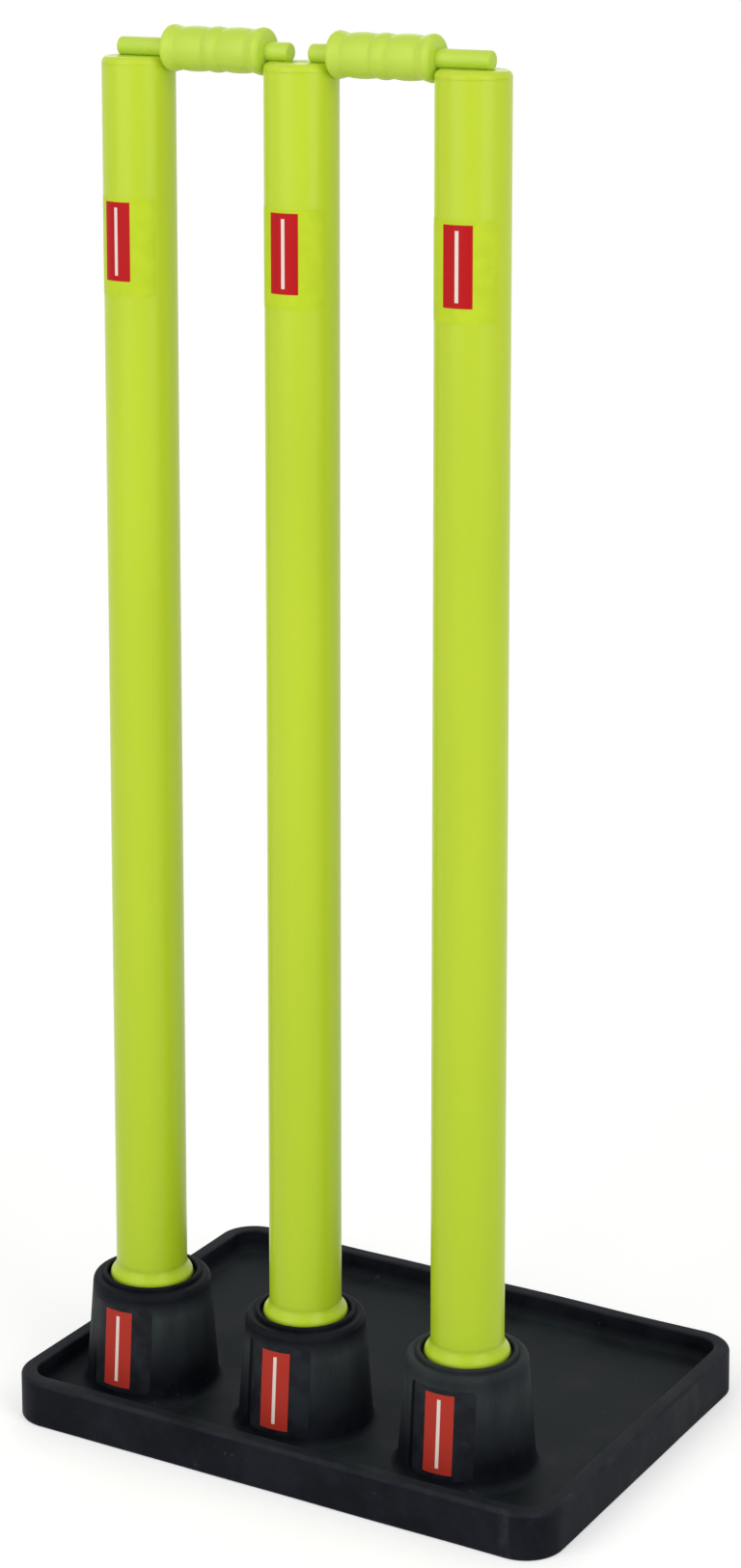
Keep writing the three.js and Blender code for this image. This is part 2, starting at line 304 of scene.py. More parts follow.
rubber = {
    "ior": 1.52,
    "specular": 0.05,
    "roughness": 0.58,
    "roughnessGive": 0.12,  # either way, with the bloom
    "colour": "#0B0D14",
    "bloom": 34,  # mm across the patches of bloom
    "bloomSpan": (0.3, 0.7),
    "cloud": "#191C23",  # where the bloom is thick
    "cloudSpan": (0.4, 0.65),
    "paintedSheen": "#3A4041",  # painted sheen: the sockets are paler where a soft highlight runs down them
    "paintedSheenFrom": 26,  # mm above the ground
    "paintedSheenTo": 58,
    "paintedSheenOut": 67,  # where that ends, but for the share below
    "paintedSheenTop": (0, 0.6),  # share of it on the left hand sockets and on the right hand one
    "rightFrom": 28,  # mm along the row, between the middle socket and the right hand one
    "rightTo": 48,
    "streak": 12,  # mm across the streaks down the sockets
    "streakTall": 0.3,
    "streakSpan": (0.3, 0.7),
    "streakLeast": 0.5,  # how much painted sheen is left between the streaks
    "dust": "#55675A",
    "facingUp": (0.6, 0.95),  # upward part of the normal where dust begins to lie, and all lies
    "floorDust": (0.034, 0.085),  # least and most share of dust on what faces up
    "dustTo": 16,  # mm above the ground, so on the tray's floor and its edge
    "wipedAbove": 21,
    "wiped": 0.3,  # share of the dust that is left above that
    # grey on the outward edges: partly rubbed wear, partly a painted highlight along the crests
    "edge": "#62666F",
    "edgeWearAndHighlight": (0.045, 0.15),  # least and most share of grey on the edges, partly rubbed wear and partly painted highlight
    "edgeSpan": (0.35, 0.7),
    "edgeTo": 66,  # mm above the ground
    "lipFrom": 71,
    "lipEdge": (0.1, 0.4),  # share of it on the left hand sockets' lips and on the right hand one's
    "scuff": 14,  # mm across the rubbed spots
    "scuffSpan": (0.5, 0.62),  # where the grains of dust cling
    "speck": 3.2,  # mm between those grains
    "speckSpan": (0.66, 0.74),
    "speckShare": 0.22,
    "grain": 0.8,  # mm, coarser than the mould's real grain so that it shows
    "grainDepth": 0.05,
    "noises": {  # detail and roughness of each of these patterns
        "bloom": (6, 0.6),
        "scuff": (8, 0.7),
        "streak": (4, 0.5),
        "speck": (2, 0.5),
        "grain": (3, 0.5),
    },
}
# a painted highlight up the front wall, where that begins to turn the right hand corner
cornerHighlight = {
    "x": 136.6,  # its middle
    "half": 1.2,  # mm to either side
    "soft": 2.6,  # mm further out, where it ends
    "front": -115,  # it fades from the front wall
    "back": -111,  # to here, so that it is on no other wall
    "patchy": 4,  # mm across the patches that break it up
    "patchyDetail": 4,
    "patchyTall": 0.6,
    "patchySpan": (0.35, 0.65),
    "patchyLeast": 0.1,
    "share": 0.12,
}


def yellowPlastic(name, finish, drawn):
    # fluorescent yellow polypropylene, extruded or injection moulded: satin, with broad soft
    # highlights, and a painted shade that darkens it towards the foot where its low colour differs
    material, tree, shader = newMaterial(name, finish)
    shader.inputs["Subsurface Weight"].default_value = finish["through"]
    shader.inputs["Subsurface Radius"].default_value = finish["depthColours"]
    shader.inputs["Subsurface Scale"].default_value = finish["depth"] * mm
    place = addNode(tree, "TexCoord", output="Object")
    height = addNode(tree, "SeparateXYZ", [place], "Z")
    tall = addNode(tree, "Mapping", {"Vector": place, "Scale": (1, 1, finish["mottleTall"])})
    scale, detail = 1 / (finish["mottle"] * mm), finish["detail"]
    mottle = addNode(tree, "TexNoise", {"Vector": tall, "Scale": scale, "Detail": detail})
    mottle = addNode(tree, "MapRange", [mottle, *finish["mottleSpan"]])
    # painted shade: the colour falls to the low one towards the foot
    reach = [finish["lowFrom"] * mm, finish["lowTo"] * mm]
    footShade = addNode(tree, "MapRange", [height, *reach, 1, 0])
    colour = linear(finish["shade"])
    for share, over in ((mottle, finish["colour"]), (footShade, finish["low"])):
        colour = addNode(tree, "Mix", {0: share, 6: colour, 7: linear(over)}, 2, data_type="RGBA")
    tree.links.new(colour, shader.inputs["Base Color"])
    if drawn:
        tall = addNode(tree, "Mapping", {"Vector": place, "Scale": (1, 1, finish["drawTall"])})
        scale, depth = 1 / (finish["drawLine"] * mm), finish["drawDepth"] * mm
        fine = addNode(tree, "TexNoise", {"Vector": tall, "Scale": scale, "Detail": detail})
    else:
        scale, depth = 1 / (finish["peel"] * mm), finish["peelDepth"] * mm
        fine = addNode(tree, "TexNoise", {"Vector": place, "Scale": scale, "Detail": detail})
    normal = addNode(tree, "Bump", {"Height": fine, "Distance": depth})
    tree.links.new(normal, shader.inputs["Normal"])
    return material


def cornerHighlightShare(tree, place):
    # how strong the painted corner highlight is
    mark = cornerHighlight
    parts = addNode(tree, "SeparateXYZ", [place]).node.outputs
    offset = addNode(tree, "Math", [parts["X"], mark["x"] * mm], operation="SUBTRACT")
    away = addNode(tree, "Math", [offset], operation="ABSOLUTE")
    reach = [mark["half"] * mm, (mark["half"] + mark["soft"]) * mm]
    streak = addNode(tree, "MapRange", [away, *reach, 1, 0])
    tall = addNode(tree, "Mapping", {"Vector": place, "Scale": (1, 1, mark["patchyTall"])})
    scale, detail = 1 / (mark["patchy"] * mm), mark["patchyDetail"]
    patchy = addNode(tree, "TexNoise", {"Vector": tall, "Scale": scale, "Detail": detail})
    patchy = addNode(tree, "MapRange", [patchy, *mark["patchySpan"], mark["patchyLeast"], 1])
    reach = [mark["front"] * mm, mark["back"] * mm]
    front = addNode(tree, "MapRange", [parts["Y"], *reach, mark["share"], 0])
    streak = addNode(tree, "Math", [streak, patchy], operation="MULTIPLY")
    return addNode(tree, "Math", [streak, front], operation="MULTIPLY")


def blackRubber():
    # black natural rubber, compression moulded: dull, with a grey bloom, dust on top, a painted
    # sheen down the sockets, grey edges that are partly rubbed and partly painted highlight, and a
    # painted highlight where the front wall turns the corner
    material, tree, shader = newMaterial("mouldedBlackRubber", rubber)
    coords = addNode(tree, "TexCoord").node.outputs
    place = coords["Object"]
    along = addNode(tree, "SeparateXYZ", [place], "X")
    height = addNode(tree, "SeparateXYZ", [place], "Z")
    facing = addNode(tree, "SeparateXYZ", [coords["Normal"]], "Z")
    tall = addNode(tree, "Mapping", {"Vector": place, "Scale": (1, 1, rubber["streakTall"])})
    noises = {}
    for name, (detail, roughness) in rubber["noises"].items():
        inputs = {"Vector": tall if name == "streak" else place, "Scale": 1 / (rubber[name] * mm)}
        inputs.update({"Detail": detail, "Roughness": roughness})
        noises[name] = addNode(tree, "TexNoise", inputs)
    cloudy = addNode(tree, "MapRange", [noises["bloom"], *rubber["cloudSpan"]])
    # painted sheen: a soft highlight down the sockets' walls, broken into streaks, and on the right
    # hand socket carried on up over its shoulder
    right = [rubber["rightFrom"] * mm, rubber["rightTo"] * mm]
    top = addNode(tree, "MapRange", [along, *right, *rubber["paintedSheenTop"]])
    reach = [rubber[key] * mm for key in ("paintedSheenFrom", "paintedSheenTo", "paintedSheenOut")]
    rising = addNode(tree, "MapRange", [height, reach[0], reach[1]])
    falling = addNode(tree, "MapRange", [height, reach[1], reach[2], 1, top])
    spread = [*rubber["streakSpan"], rubber["streakLeast"], 1]
    streaks = addNode(tree, "MapRange", [noises["streak"], *spread])
    paintedSheen = addNode(tree, "Math", [rising, falling], operation="MULTIPLY")
    paintedSheen = addNode(tree, "Math", [paintedSheen, streaks], operation="MULTIPLY")
    # dust on the floor, less of it higher up
    upwards = addNode(tree, "MapRange", [facing, *rubber["facingUp"]])
    spread = [*rubber["bloomSpan"], *rubber["floorDust"]]
    amount = addNode(tree, "MapRange", [noises["bloom"], *spread])
    reach = [rubber["dustTo"] * mm, rubber["wipedAbove"] * mm]
    left = addNode(tree, "MapRange", [height, *reach, 1, rubber["wiped"]])
    settled = addNode(tree, "Math", [upwards, amount], operation="MULTIPLY")
    settled = addNode(tree, "Math", [settled, left], operation="MULTIPLY")
    # grey edges, partly rubbed wear and partly painted highlight, the corner's painted highlight
    # and grains of dust
    crest = addNode(tree, "Attribute", output="Fac", attribute_name="crest")
    spread = [*rubber["edgeSpan"], *rubber["edgeWearAndHighlight"]]
    amount = addNode(tree, "MapRange", [noises["scuff"], *spread])
    reach = [rubber["edgeTo"] * mm, rubber["lipFrom"] * mm]
    lip = addNode(tree, "MapRange", [along, *right, *rubber["lipEdge"]])
    left = addNode(tree, "MapRange", [height, *reach, 1, lip])
    crest = addNode(tree, "Math", [crest, left], operation="MULTIPLY")
    clinging = addNode(tree, "MapRange", [noises["scuff"], *rubber["scuffSpan"]])
    spread = [*rubber["speckSpan"], 0, rubber["speckShare"]]
    specks = addNode(tree, "MapRange", [noises["speck"], *spread])
    # painted highlight up the front wall at the right hand corner
    mark = cornerHighlightShare(tree, place)
    marks = addNode(tree, "Math", [specks, clinging, mark], operation="MULTIPLY_ADD")
    wearAndHighlights = addNode(tree, "Math", [crest, amount, marks], operation="MULTIPLY_ADD", use_clamp=True)
    # layers over the black: bloom, painted sheen, dust, and grey edges that carry painted
    # highlights as well as wear
    layers = {"cloud": cloudy, "paintedSheen": paintedSheen, "dust": settled, "edge": wearAndHighlights}
    colour = linear(rubber["colour"])
    for name, share in layers.items():
        over = linear(rubber[name])
        colour = addNode(tree, "Mix", {0: share, 6: colour, 7: over}, 2, data_type="RGBA")
    tree.links.new(colour, shader.inputs["Base Color"])
    middle, give = rubber["roughness"], rubber["roughnessGive"]
    spread = [*rubber["bloomSpan"], middle - give, middle + give]
    rough = addNode(tree, "MapRange", [noises["bloom"], *spread])
    tree.links.new(rough, shader.inputs["Roughness"])
    depth = rubber["grainDepth"] * mm
    normal = addNode(tree, "Bump", {"Height": noises["grain"], "Distance": depth})
    tree.links.new(normal, shader.inputs["Normal"])
    return material


tubeSkin = yellowPlastic("extrudedYellowPolypropylene", plastic, True)
mouldedSkin = yellowPlastic("mouldedYellowPolypropylene", plastic, False)
bailSkin = yellowPlastic("mattYellowPolypropylene", bailPlastic, False)
rubberSkin = blackRubber()
print("plastic and rubber mixed")

# base: the tray and its three sockets are one moulding
tray = {
    "height": 24.5,
    "corner": 21,
    "cornerSteps": 18,
    "sideStep": 8,  # between points along a straight side
    "rim": 8.4,
    "rimOuterRound": 2.3,
    "rimInnerRound": 1.2,
    "undersideRound": 1.5,
    "floor": 12.5,
    "floorFillet": 5,
    "floorGrid": 7,  # between the points of the net that the floor is made of
    "netGap": 2,  # from a socket's foot to the nearest of those points
    "netSlack": 0.5,  # a face this far inside a socket's foot is left out
    "netMerge": 1e-4,
    "netKind": 1,  # triangles inside the outline only
    "crease": 40,  # degrees from which an edge of the moulding stays sharp
}
socket = {
    "bore": 20.85,
    "boreFloor": 14.5,
    "seat": 69.3,
    "mouth": 23.3,
    "lip": 2.3,
    "wallTopRadius": 31,
    "shoulderTop": 70.9,
    "shoulderDrop": 3.6,
    "taper": 3.7,
    "fillet": 4.5,
    "wallSteps": 10,
    "crestOut": 2.4,  # the shoulder's soft crest, out from the lip
    "crestDrop": 0.1,
    "grooveOut": 0.6,  # the shallow groove between that crest and the lip
    "grooveDrop": 0.45,
    "lean": 0.25,  # how far the wall leans in as it turns into the shoulder
}
# the moulding's unevenness, none of it within calmTo of a stump's axis
waves = {"size": 48, "depth": 0.3, "calmTo": 27, "fullFrom": 36, "seed": 7}
# rubber wears grey on outward edges, and a painted highlight lies there too: on those of this
# radius or sharper the most
crestWearAndHighlight = {"radius": 2.4, "blurs": 2, "leastWidth": 1e-4, "leastLength": 1e-6}
noise.seed_set(waves["seed"])
baseLow, baseHigh = boxOf("rubber_base")
axes = {}
for side in sides:
    low, high = boxOf(side + "_stump_tube")
    axes[side] = ((low.x + high.x) / 2, (low.y + high.y) / 2)
socket["wallFootRadius"] = socket["wallTopRadius"] + socket["taper"]
socket["wallTop"] = socket["shoulderTop"] - socket["shoulderDrop"]
socket["footRadius"] = socket["wallFootRadius"] + socket["fillet"]


def socketWall(height):
    # radius of the socket's side wall
    start = tray["floor"] + socket["fillet"]
    share = (height - start) / (socket["wallTop"] - start)
    return socket["wallFootRadius"] - share * socket["taper"]


def uneven(p):
    # the slight waviness of thick rubber, none round the mouths, and never past the CAD box
    away = min(math.dist((p[0], p[1]), axis) for axis in axes.values())
    share = min(1, max(0, (away - waves["calmTo"]) / (waves["fullFrom"] - waves["calmTo"])))
    moved = Vector(p) + noise.noise_vector(Vector(p) / waves["size"]) * waves["depth"] * share
    moved.x = min(baseHigh.x, max(baseLow.x, moved.x))
    moved.y = min(baseHigh.y, max(baseLow.y, moved.y))
    moved.z = max(0, moved.z) if p[2] > tray["undersideRound"] else p[2]
    return moved


def trayRing(inset, height):
    radius = tray["corner"] - inset
    x, y = baseHigh.x - inset - radius, baseHigh.y - inset - radius
    corners = [(x, y), (-x, y), (-x, -y), (x, -y)]
    ring = []
    for quarter, (cornerX, cornerY) in enumerate(corners):
        for step in range(tray["cornerSteps"] + 1):
            a = (quarter + step / tray["cornerSteps"]) * math.pi / 2
            pointX, pointY = cornerX + radius * math.cos(a), cornerY + radius * math.sin(a)
            ring.append(Vector((pointX, pointY, height)))
        # then along the side, to where the next corner starts
        nextX, nextY = corners[(quarter + 1) % len(corners)]
        cornerEnd = ring[-1]
        sideEnd = Vector((nextX + radius * math.cos(a), nextY + radius * math.sin(a), height))
        pieces = round((sideEnd - cornerEnd).length / tray["sideStep"])
        ring += [cornerEnd.lerp(sideEnd, i / pieces) for i in range(1, pieces)]
    return ring


def trayShell():
    # the underside, outer wall, rim and inner wall, as far as the edge of the tray floor
    top, outer, inner = tray["height"], tray["rimOuterRound"], tray["rimInnerRound"]
    low, fillet = tray["undersideRound"], tray["floorFillet"]
    section = arc((low, low), low, 270, 180, steps["edge"])
    section += arc((outer, top - outer), outer, 180, 90, steps["rim"])
    section += arc((tray["rim"] - inner, top - inner), inner, 90, 0, steps["edge"])
    section += arc((tray["rim"] + fillet, tray["floor"] + fillet), fillet, 180, 270, steps["curve"])
    rings = [trayRing(inset, height) for inset, height in section]
    around = len(rings[0])
    faces = [tuple(range(around))]
    for k in range(len(rings) - 1):
        lower, upper = k * around, (k + 1) * around
        for i in range(around):
            j = (i + 1) % around
            faces.append((lower + i, lower + j, upper + j, upper + i))
    return [p for ring in rings for p in ring], faces, rings[-1]


def trayFloor(edge):
    # the floor between its edge and the sockets' feet, as a fine net so that it can be uneven
    flat = [Vector((p.x, p.y)) for p in edge]
    lines = [(i, (i + 1) % len(edge)) for i in range(len(edge))]
    facets, foot = steps["round"], socket["footRadius"]
    for x, y in axes.values():
        start = len(flat)
        for i in range(facets):
            a = 2 * math.pi * i / facets
            flat.append(Vector((x + foot * math.cos(a), y + foot * math.sin(a))))
            lines.append((start + i, start + (i + 1) % facets))
    inset = tray["rim"] + tray["floorFillet"] + tray["floorGrid"] / 2
    columns = int((baseHigh.x - inset) / tray["floorGrid"])
    rows = int((baseHigh.y - inset) / tray["floorGrid"])
    for i in range(-columns, columns + 1):
        for j in range(-rows, rows + 1):
            spot = Vector((i * tray["floorGrid"], j * tray["floorGrid"]))
            if all(math.dist(spot, axis) > foot + tray["netGap"] for axis in axes.values()):
                flat.append(spot)
    net = geometry.delaunay_2d_cdt(flat, lines, [], tray["netKind"], tray["netMerge"])
    spots, netFaces = net[0], net[2]
    kept = []
    for face in netFaces:
        middle = sum((spots[i] for i in face), Vector((0, 0))) / len(face)
        if all(math.dist(middle, axis) > foot - tray["netSlack"] for axis in axes.values()):
            kept.append(tuple(face))
    return [(p.x, p.y, tray["floor"]) for p in spots], kept


def socketProfile():
    s, floorTop = socket, tray["floor"]
    lipRound = s["lip"] / 2
    lipOuter = s["mouth"] + s["lip"]
    crest = (lipOuter + s["crestOut"], s["shoulderTop"] - s["crestDrop"])
    groove = (lipOuter + s["grooveOut"], s["shoulderTop"] - s["grooveDrop"])
    foot = (s["footRadius"], floorTop + s["fillet"])
    profile = arc(foot, s["fillet"], 270, 180, steps["shoulder"])
    wall = (s["wallTopRadius"], s["wallTop"])
    for i in range(1, s["wallSteps"]):
        height = floorTop + s["fillet"] + (wall[1] - floorTop - s["fillet"]) * i / s["wallSteps"]
        profile.append((socketWall(height), height))
    profile += bend(wall, (s["wallTopRadius"] - s["lean"], crest[1]), crest, steps["shoulder"])
    profile += bend(crest, ((crest[0] + groove[0]) / 2, crest[1]), groove, steps["edge"])
    lipFoot = (lipOuter, groove[1] - s["grooveDrop"])
    profile += bend(groove, lipFoot, (lipOuter, s["shoulderTop"]), steps["edge"])
    profile += arc((s["mouth"] + lipRound, baseHigh.z - lipRound), lipRound, 0, 180, steps["lip"])
    profile += [(s["mouth"], s["seat"]), (s["bore"], s["seat"])]
    return profile + [(s["bore"], s["boreFloor"]), (0, s["boreFloor"])]


def markCrests(piece):
    # an attribute that rises to 1 on the outward edges, which wear grey and carry a painted
    # highlight
    mesh = piece.data
    work = bmesh.new()
    work.from_mesh(mesh)
    values = []
    for vertex in work.verts:
        most = 0
        for edge in vertex.link_edges:
            if len(edge.link_faces) == 2:
                long = max(edge.calc_length(), crestWearAndHighlight["leastLength"])
                wide = sum(f.calc_area() for f in edge.link_faces) / 2 / long
                turnOver = edge.calc_face_angle_signed(0)
                most = max(most, turnOver / max(wide, crestWearAndHighlight["leastWidth"]))
        values.append(min(1, most * crestWearAndHighlight["radius"] * mm))
    for blur in range(crestWearAndHighlight["blurs"]):
        old = values[:]
        for vertex in work.verts:
            around = [old[e.other_vert(vertex).index] for e in vertex.link_edges]
            values[vertex.index] = (old[vertex.index] + sum(around) / max(len(around), 1)) / 2
    work.free()
    crest = mesh.attributes.new("crest", "FLOAT", "POINT")
    crest.data.foreach_set("value", values)


def joinParts(parts):
    points, faces = [], []
    for partPoints, partFaces in parts:
        start = len(points)
        points += partPoints
        faces += [tuple(start + i for i in face) for face in partFaces]
    return points, faces


shellPoints, shellFaces, floorEdge = trayShell()
parts = [(shellPoints, shellFaces), trayFloor(floorEdge)]
for side in sides:
    parts.append(turned(socketProfile(), steps["round"], *axes[side]))
points, faces = joinParts(parts)
moulding = meshPiece("rubberMoulding", [uneven(p) for p in points], faces, rubberSkin)
markCrests(moulding)
smooth(moulding, tray["crease"])
dress(moulding, "rubber_base", "base")
print("base built")

# stumps
stump = {
    "wall": 2.6,
    "edge": 0.04,  # broken edges at the seam between tube and cap
    "seam": 0.02,  # between their faces
    "capThickness": 4,
    "capRound": 3.5,
    "plug": 20,
    "plugWall": 2.2,
    "plugLead": 1,
    "plugFit": 0.3,
    "seatGap": 0.3,  # between the flare and the ledge that carries it
    "flareEdge": 0.02,
    "flareFit": 0.02,
    "flareFull": 2.5,  # seat up to where the flare is fullest
    "flareTurn": 5.6,  # seat up to where its hollow upper part begins
    "flareTurnOut": 0.5,  # how far out that is, as a share of the flare
    "flareBulge": 0.7,  # heights that its two curves bend towards, as shares of flareTurn
    "flareTail": 1.34,
    "underRound": 1.6,
    "ferrule": 20.55,
    "ferruleLead": 1.6,
    "fit": 0.25,  # under the tube's end
}
tubeLow, tubeHigh = boxOf("middle_stump_tube")
stump["radius"] = (tubeHigh.x - tubeLow.x) / 2
stump["bore"] = stump["radius"] - stump["wall"]
footLow, footHigh = boxOf("middle_stump_foot")
stump["flange"] = (footHigh.x - footLow.x) / 2
capTop = boxOf("middle_stump_cap")[1].z


def tubeProfile():
    r, bore, edge = stump["radius"], stump["bore"], stump["edge"]
    low, high = tubeLow.z, capTop - stump["capThickness"] - stump["seam"]
    return [(bore, low), (r, low), (r, high - edge), (r - edge, high), (bore, high), (bore, low)]


def footProfile():
    s = stump
    seat = socket["seat"] + s["seatGap"]
    bore = s["radius"] + s["flareFit"]
    edge = bore + s["flareEdge"]
    full = (s["flange"], seat + s["flareFull"])
    middle = (edge + s["flareTurnOut"] * (s["flange"] - edge), seat + s["flareTurn"])
    profile = [(0, footLow.z), (s["ferrule"] - s["ferruleLead"], footLow.z)]
    profile += [(s["ferrule"], footLow.z + s["ferruleLead"]), (s["ferrule"], seat)]
    under = (s["flange"] - s["underRound"], seat + s["underRound"])
    profile += arc(under, s["underRound"], 270, 360, steps["edge"])
    bulge = (s["flange"], seat + s["flareBulge"] * s["flareTurn"])
    profile += bend(full, bulge, middle, steps["curve"])
    tail = (edge, seat + s["flareTail"] * s["flareTurn"])
    profile += bend(middle, tail, (edge, footHigh.z), steps["curve"])
    return profile + [(bore, footHigh.z), (bore, tubeLow.z - s["fit"]), (0, tubeLow.z - s["fit"])]


def capProfile():
    s = stump
    low = capTop - s["capThickness"]
    plug = s["bore"] - s["plugFit"]
    end = low - s["plug"]
    profile = [(0, low), (plug - s["plugWall"], low), (plug - s["plugWall"], end)]
    profile += [(plug - s["plugLead"], end), (plug, end + s["plugLead"]), (plug, low)]
    profile += [(s["radius"] - s["edge"], low), (s["radius"], low + s["edge"])]
    rim = (s["radius"] - s["capRound"], capTop - s["capRound"])
    profile += arc(rim, s["capRound"], 0, 90, steps["lip"])
    return profile + [(0, capTop)]


# bails: each is one piece, a barrel with beads and swells between a long spigot and a short one
bail = {
    "longSpigot": 29.2,
    "shortSpigot": 13,
    "spigot": 4.85,
    "spigotRound": 1.5,
    "valley": 10.45,
    "swell": 11.25,
    "middleBead": 11.35,
    "middleBeadWidth": 8.7,
    "endBeadWidth": 8,
    "endBeadCrest": 0.42,  # barrel's end to an end bead's crest, as a share of its width
    "endRound": 2.8,
    "fullness": 0.8,  # how steeply beads and swells rise out of the valleys
    "grooveFit": 0.3,
    "cutPast": 1,  # how far a groove's cutter runs past the cap
}
bailLow, bailHigh = boxOf("left_bail")
bail["bead"] = (bailHigh.z - bailLow.z) / 2
bail["axis"] = (bailHigh.z + bailLow.z) / 2
bail["halfBarrel"] = (bailHigh.x - bailLow.x - bail["longSpigot"] - bail["shortSpigot"]) / 2


def bailProfile():
    b, end = bail, bail["halfBarrel"]
    longEnd, shortEnd = -end - b["longSpigot"], end + b["shortSpigot"]
    tip, rim = b["spigot"] - b["spigotRound"], b["bead"] - b["endRound"]
    endValley, middleValley = end - b["endBeadWidth"], b["middleBeadWidth"] / 2
    crest = end - b["endBeadCrest"] * b["endBeadWidth"]
    full = end - b["endRound"]
    profile = [(0, longEnd)]
    profile += arc((tip, longEnd + b["spigotRound"]), b["spigotRound"], 270, 360, steps["edge"])
    profile += [(b["spigot"], -end)]
    profile += arc((rim, -full), b["endRound"], 270, 360, steps["edge"])
    beadEnd, beadFoot = (b["bead"], -full), (b["valley"], -endValley)
    profile += bend(beadEnd, (b["bead"], -crest), beadFoot, steps["curve"])
    for top, start, stop in (
        (b["swell"], -endValley, -middleValley),
        (b["middleBead"], -middleValley, middleValley),
        (b["swell"], middleValley, endValley),
    ):
        for i in range(1, steps["swell"]):
            share = (1 - math.cos(math.pi * i / steps["swell"])) / 2
            rise = (top - b["valley"]) * math.sin(math.pi * share) ** b["fullness"]
            profile.append((b["valley"] + rise, start + (stop - start) * share))
        profile.append((b["valley"], stop))
    beadFoot, beadEnd = (b["valley"], endValley), (b["bead"], full)
    profile += bend(beadFoot, (b["bead"], crest), beadEnd, steps["curve"])
    profile += arc((rim, full), b["endRound"], 0, 90, steps["edge"])
    profile += [(b["spigot"], end)]
    profile += arc((tip, shortEnd - b["spigotRound"]), b["spigotRound"], 0, 90, steps["edge"])
    return profile + [(0, shortEnd)]


def cutGroove(cap, start, stop, axis):
    radius = bail["spigot"] + bail["grooveFit"]
    points, faces = turned([(0, start), (radius, start), (radius, stop), (0, stop)], steps["slim"])
    cutter = meshPiece("cutter", alongX(points, axis[0], axis[1], bail["axis"]), faces, mouldedSkin)
    cut = cap.modifiers.new("groove", "BOOLEAN")
    cut.object, cut.operation, cut.solver = cutter, "DIFFERENCE", "EXACT"
    bpy.context.view_layer.update()
    result = cap.evaluated_get(bpy.context.evaluated_depsgraph_get())
    cap.data = bpy.data.meshes.new_from_object(result)
    cap.modifiers.clear()
    bpy.data.objects.remove(cutter)


spacing = axes["middle"][0] - axes["left"][0]
blind = bail["longSpigot"] - spacing / 2 + bail["halfBarrel"] + bail["grooveFit"]
through = stump["radius"] + bail["cutPast"]
grooves = {"left": (-blind, through), "middle": (-through, through), "right": (-through, blind)}
for side in sides:
    for part, profile, skin in (
        ("tube", tubeProfile(), tubeSkin),
        ("foot", footProfile(), mouldedSkin),
        ("cap", capProfile(), mouldedSkin),
    ):
        piece = meshPiece(side + part.title(), *turned(profile, steps["round"], *axes[side]), skin)
        if part == "cap":
            cutGroove(piece, *grooves[side], axes[side])
        smooth(piece)
        dress(piece, side + "_stump_" + part, "stump_" + side)
bails = (("left", "left", "middle", False), ("right", "middle", "right", True))
for name, first, second, backwards in bails:
    middle = (axes[first][0] + axes[second][0]) / 2
    points, faces = turned(bailProfile(), steps["slim"])
    points = alongX(points, middle, axes[first][1], bail["axis"], backwards)
    piece = meshPiece(name + "Bail", points, faces, bailSkin)
    smooth(piece)
    dress(piece, name + "_bail", "bail_" + name)
print("stumps and bails built")

# film labels: each is clear, with a plain red panel and one pale bar
film = {
    "gap": 0.03,  # between a film and what it is wrapped round
    "thickness": 0.08,
    "corner": 2.5,
    "columns": 48,
    "rows": 24,
    "soft": 0.15,  # how far the edges of its print blur
}
printed = {
    "ior": 1.5,
    "specular": 0.11,
    "roughness": 0.42,
    "pale": "#E9DCD3",
    "barWidth": 1.9,
    "barShare": 0.86,  # of the panel's height
    "cloudSize": 9,  # mm across the cloudy patches of the clear film
    "cloudDetail": 4,
    "cloudSpan": (0.42, 0.62),
    "ripple": 7,  # mm across its ripples
    "rippleDetail": 1,
    "rippleDepth": 0.02,
}
stumpFilm = {
    "width": 41.5,
    "turns": {"left": -7, "middle": 1, "right": 4},
    "red": "#BA161A",
    "panel": (-7.9, 7.9, 7.4, 47),  # from the film's middle and its lower edge
    "clear": "#BED42C",  # what is under the clear film, as it shows through
    "cloud": "#C3D92E",
}
socketFilm = {
    "width": 37.4,
    "turns": {"left": -0.6, "middle": 1.8, "right": 2.4},
    "red": "#B43529",
    "panel": (-8, 8, 2.4, 42.9),
    "clear": "#15171C",
    "cloud": "#20242A",
    "border": (-19, -15.8),  # a plain black margin along the left edge
    "dark": "#060708",
}


def bandMask(tree, value, low, high):
    # 1 where the value lies between low and high
    offset = addNode(tree, "Math", [value, (low + high) / 2], operation="SUBTRACT")
    away = addNode(tree, "Math", [offset], operation="ABSOLUTE")
    half = (high - low) / 2
    return addNode(tree, "MapRange", [away, half - film["soft"] / 2, half + film["soft"] / 2, 1, 0])


def boxMask(tree, along, up, box):
    masks = [bandMask(tree, along, box[0], box[1]), bandMask(tree, up, box[2], box[3])]
    return addNode(tree, "Math", masks, operation="MULTIPLY")


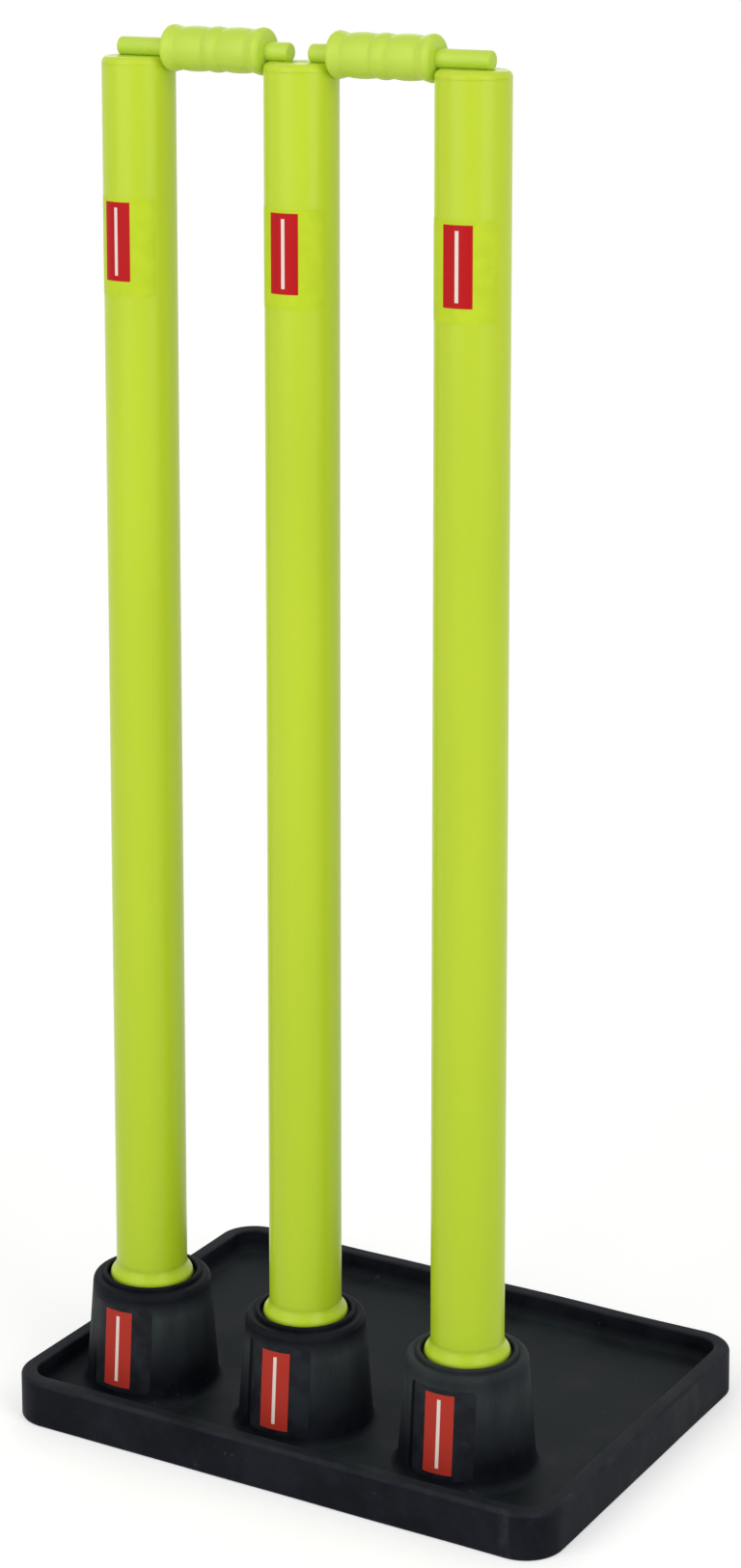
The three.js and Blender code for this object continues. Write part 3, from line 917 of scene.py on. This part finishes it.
def filmSkin(name, kind):
    # screen printed vinyl film, laminated: smooth, duller than the tubes and shinier than the
    # rubber
    material, tree, shader = newMaterial(name, printed)
    place = addNode(tree, "TexCoord", output="Object")
    spot = addNode(tree, "Attribute", output="Vector", attribute_name="filmPlace")
    parts = addNode(tree, "SeparateXYZ", [spot]).node.outputs
    along, up = parts["X"], parts["Y"]
    scale, detail = 1 / (printed["cloudSize"] * mm), printed["cloudDetail"]
    cloud = addNode(tree, "TexNoise", {"Vector": place, "Scale": scale, "Detail": detail})
    cloud = addNode(tree, "MapRange", [cloud, *printed["cloudSpan"]])
    left, right, bottom, top = kind["panel"]
    middle, centre = (left + right) / 2, (bottom + top) / 2
    halfBar, halfTall = printed["barWidth"] / 2, (top - bottom) / 2 * printed["barShare"]
    bar = (middle - halfBar, middle + halfBar, centre - halfTall, centre + halfTall)
    layers = [(cloud, kind["cloud"])]
    if "border" in kind:
        layers.append((bandMask(tree, along, *kind["border"]), kind["dark"]))
    layers.append((boxMask(tree, along, up, kind["panel"]), kind["red"]))
    layers.append((boxMask(tree, along, up, bar), printed["pale"]))
    colour = linear(kind["clear"])
    for share, over in layers:
        colour = addNode(tree, "Mix", {0: share, 6: colour, 7: linear(over)}, 2, data_type="RGBA")
    tree.links.new(colour, shader.inputs["Base Color"])
    scale, detail = 1 / (printed["ripple"] * mm), printed["rippleDetail"]
    ripples = addNode(tree, "TexNoise", {"Vector": place, "Scale": scale, "Detail": detail})
    normal = addNode(tree, "Bump", {"Height": ripples, "Distance": printed["rippleDepth"] * mm})
    tree.links.new(normal, shader.inputs["Normal"])
    return material


def tubeWall(height):
    # radius of a stump, the same at every height
    return stump["radius"]


def wrapFilm(name, node, kind, side, wallAt, skin):
    # a film with rounded corners, wrapped round the wall whose radius wallAt gives for a height
    low, high = boxOf(node)
    bottom, height = low.z, high.z - low.z
    width, corner = kind["width"], film["corner"]
    x, y = axes[side]
    points, places, faces = [], [], []
    columns, rows = film["columns"], film["rows"]  # of faces
    for layer in (film["gap"], film["gap"] + film["thickness"]):
        for i in range(columns + 1):
            share = math.sin((i / columns - 0.5) * math.pi)  # closer together towards the sides
            fromSide = width / 2 * (1 - abs(share))
            cut = corner - math.sqrt(max(0, corner**2 - max(0, corner - fromSide) ** 2))
            for j in range(rows + 1):
                up = cut + (height - 2 * cut) * j / rows
                r = wallAt(bottom + up) + layer
                a = math.radians(kind["turns"][side] - 90) + share * width / 2 / r
                points.append((x + r * math.cos(a), y + r * math.sin(a), bottom + up))
                places.append((share * width / 2, up, 0))
    tall, layerSize = rows + 1, (columns + 1) * (rows + 1)
    for i in range(columns):
        for j in range(rows):
            corners = (i * tall + j, (i + 1) * tall + j, (i + 1) * tall + j + 1, i * tall + j + 1)
            faces += [corners, tuple(layerSize + k for k in corners)]
    border = [i * tall for i in range(columns + 1)] + [columns * tall + j for j in range(1, tall)]
    border += [i * tall + rows for i in range(columns - 1, -1, -1)] + list(range(rows - 1, 0, -1))
    for k, first in enumerate(border):
        second = border[(k + 1) % len(border)]
        faces.append((first, second, layerSize + second, layerSize + first))
    if kind is socketFilm:
        points = [uneven(p) for p in points]
    piece = meshPiece(name, points, faces, skin)
    spot = piece.data.attributes.new("filmPlace", "FLOAT_VECTOR", "POINT")
    spot.data.foreach_set("vector", [c for place in places for c in place])
    smooth(piece)
    return piece


stumpFilmSkin = filmSkin("clearVinylOverYellow", stumpFilm)
socketFilmSkin = filmSkin("clearVinylOverBlack", socketFilm)
for side in sides:
    node = side + "_stump_label"
    piece = wrapFilm(side + "StumpFilm", node, stumpFilm, side, tubeWall, stumpFilmSkin)
    dress(piece, node, "stump_" + side)
    node = side + "_socket_label"
    piece = wrapFilm(side + "SocketFilm", node, socketFilm, side, socketWall, socketFilmSkin)
    dress(piece, node, "base")
print("labels wrapped")
